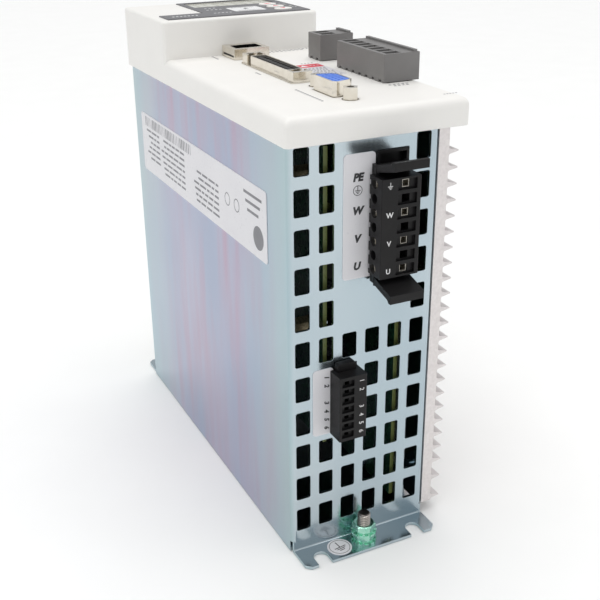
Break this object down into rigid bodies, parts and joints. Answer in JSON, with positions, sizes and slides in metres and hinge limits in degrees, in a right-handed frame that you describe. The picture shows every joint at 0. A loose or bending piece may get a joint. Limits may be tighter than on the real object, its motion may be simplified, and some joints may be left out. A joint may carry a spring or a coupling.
{
  "type": "servo drive",
  "caption": "Slim panel-mount servo drive: vented plated-steel housing with a finned heatsink side, a white front cover with keys and display, and pull-off terminal plugs.",
  "frame": {"origin": "centre of the mounting plane between the two flanges", "axes": "+Z out of the panel towards the front connectors, +Y up the panel from the motor terminals to the supply terminals, +X towards the heatsink fins"},
  "size_m": [0.0706, 0.1938, 0.1861],
  "materials": {
    "zinc_steel": "bright zinc plating with a faint blue and violet tint",
    "extruded_aluminium": "plain extrusion, matt",
    "white_housing_plastic": "moulded, fine matt grain",
    "overlay_film": "printed polyester film, dark grey",
    "display_pane": "pale tinted pane",
    "black_plastic": "moulded polyamide",
    "grey_plastic": "moulded polyamide",
    "light_pipe": "clear moulding",
    "plated_steel": "tin or nickel plating",
    "gold_contact": "gold flash",
    "tin_contact": "tin plating",
    "blue_plastic": "moulded, blue",
    "circuit_board": "green solder mask on glass-fibre laminate",
    "brass": "turned",
    "capacitor_sleeve": "shrink sleeve",
    "capacitor_box": "moulded box",
    "enamelled_copper": "enamelled winding",
    "ferrite": "sintered core with tape",
    "stud_steel": "plain steel thread",
    "green_zinc": "zinc with green passivation",
    "label_white": "printed film label",
    "key_plastic": "silicone rubber key top with a red mark"
  },
  "bodies": {
    "housing": {"chassis": "zinc_steel", "back_plate": "zinc_steel", "heatsink": "extruded_aluminium", "front_cover": "white_housing_plastic", "keypad_overlay": "overlay_film", "display_window": "display_pane", "display_module": "black_plastic", "key_switches": "black_plastic", "status_lamps": "light_pipe", "ethernet_jack_shell": "plated_steel", "ethernet_jack_insert": "black_plastic", "ethernet_contacts": "gold_contact", "data_connector_shell": "plated_steel", "data_connector_insert": "black_plastic", "feedback_connector_shell": "plated_steel", "feedback_connector_insert": "blue_plastic", "feedback_jackscrews": "plated_steel", "output_header": "black_plastic", "mains_header": "black_plastic", "safety_header": "black_plastic", "bus_header": "grey_plastic", "backup_header": "grey_plastic", "header_pins": "tin_contact", "control_board": "circuit_board", "power_board": "circuit_board", "io_board": "circuit_board", "bus_board": "circuit_board", "display_board": "circuit_board", "board_standoffs": "brass", "pan_screws": "zinc_steel", "bus_capacitors": "capacitor_sleeve", "power_module": "black_plastic", "precharge_relay": "black_plastic", "film_capacitors": "capacitor_box", "filter_choke": "enamelled_copper", "supply_transformer": "ferrite", "control_chips": "black_plastic", "board_link": "black_plastic", "ground_stud": "stud_steel", "ground_nuts": "green_zinc", "toothed_washers": "green_zinc", "output_label": "label_white", "safety_label": "label_white", "ground_label": "label_white", "rating_label": "label_white", "warning_label": "label_white"},
    "output_plug": {"output_plug": "black_plastic", "output_terminal_screws": "plated_steel", "output_wire_clamps": "tin_contact"},
    "output_upper_lever": {"output_upper_lever": "black_plastic"},
    "output_lower_lever": {"output_lower_lever": "black_plastic"},
    "safety_plug": {"safety_plug": "black_plastic"},
    "bus_plug": {"bus_plug": "grey_plastic", "bus_terminal_screws": "plated_steel"},
    "backup_plug": {"backup_plug": "grey_plastic", "backup_terminal_screws": "plated_steel"},
    "down_key": {"down_key": "key_plastic"},
    "up_key": {"up_key": "key_plastic"},
    "enter_key": {"enter_key": "key_plastic"}
  },
  "joints": [
    {"name": "output_plug_slide", "type": "slide", "parent": "housing", "child": "output_plug", "axis": [0, -1, 0], "range_m": [0, 0.015]},
    {"name": "safety_plug_slide", "type": "slide", "parent": "housing", "child": "safety_plug", "axis": [0, -1, 0], "range_m": [0, 0.012]},
    {"name": "bus_plug_slide", "type": "slide", "parent": "housing", "child": "bus_plug", "axis": [0, 0, 1], "range_m": [0, 0.012]},
    {"name": "backup_plug_slide", "type": "slide", "parent": "housing", "child": "backup_plug", "axis": [0, 0, 1], "range_m": [0, 0.012]},
    {"name": "output_upper_lever_hinge", "type": "hinge", "parent": "output_plug", "child": "output_upper_lever", "pos_m": [0.0085, -0.0854, 0.14966], "axis": [-1, 0, 0], "range_deg": [-6, 30]},
    {"name": "output_lower_lever_hinge", "type": "hinge", "parent": "output_plug", "child": "output_lower_lever", "pos_m": [0.0085, -0.0854, 0.1103], "axis": [1, 0, 0], "range_deg": [-6, 30]},
    {"name": "down_key_press", "type": "slide", "parent": "housing", "child": "down_key", "axis": [0, 0, -1], "range_m": [0, 0.0003], "stiffness_N_per_m": 3000},
    {"name": "up_key_press", "type": "slide", "parent": "housing", "child": "up_key", "axis": [0, 0, -1], "range_m": [0, 0.0003], "stiffness_N_per_m": 3000},
    {"name": "enter_key_press", "type": "slide", "parent": "housing", "child": "enter_key", "axis": [0, 0, -1], "range_m": [0, 0.0003], "stiffness_N_per_m": 3000}
  ]
}
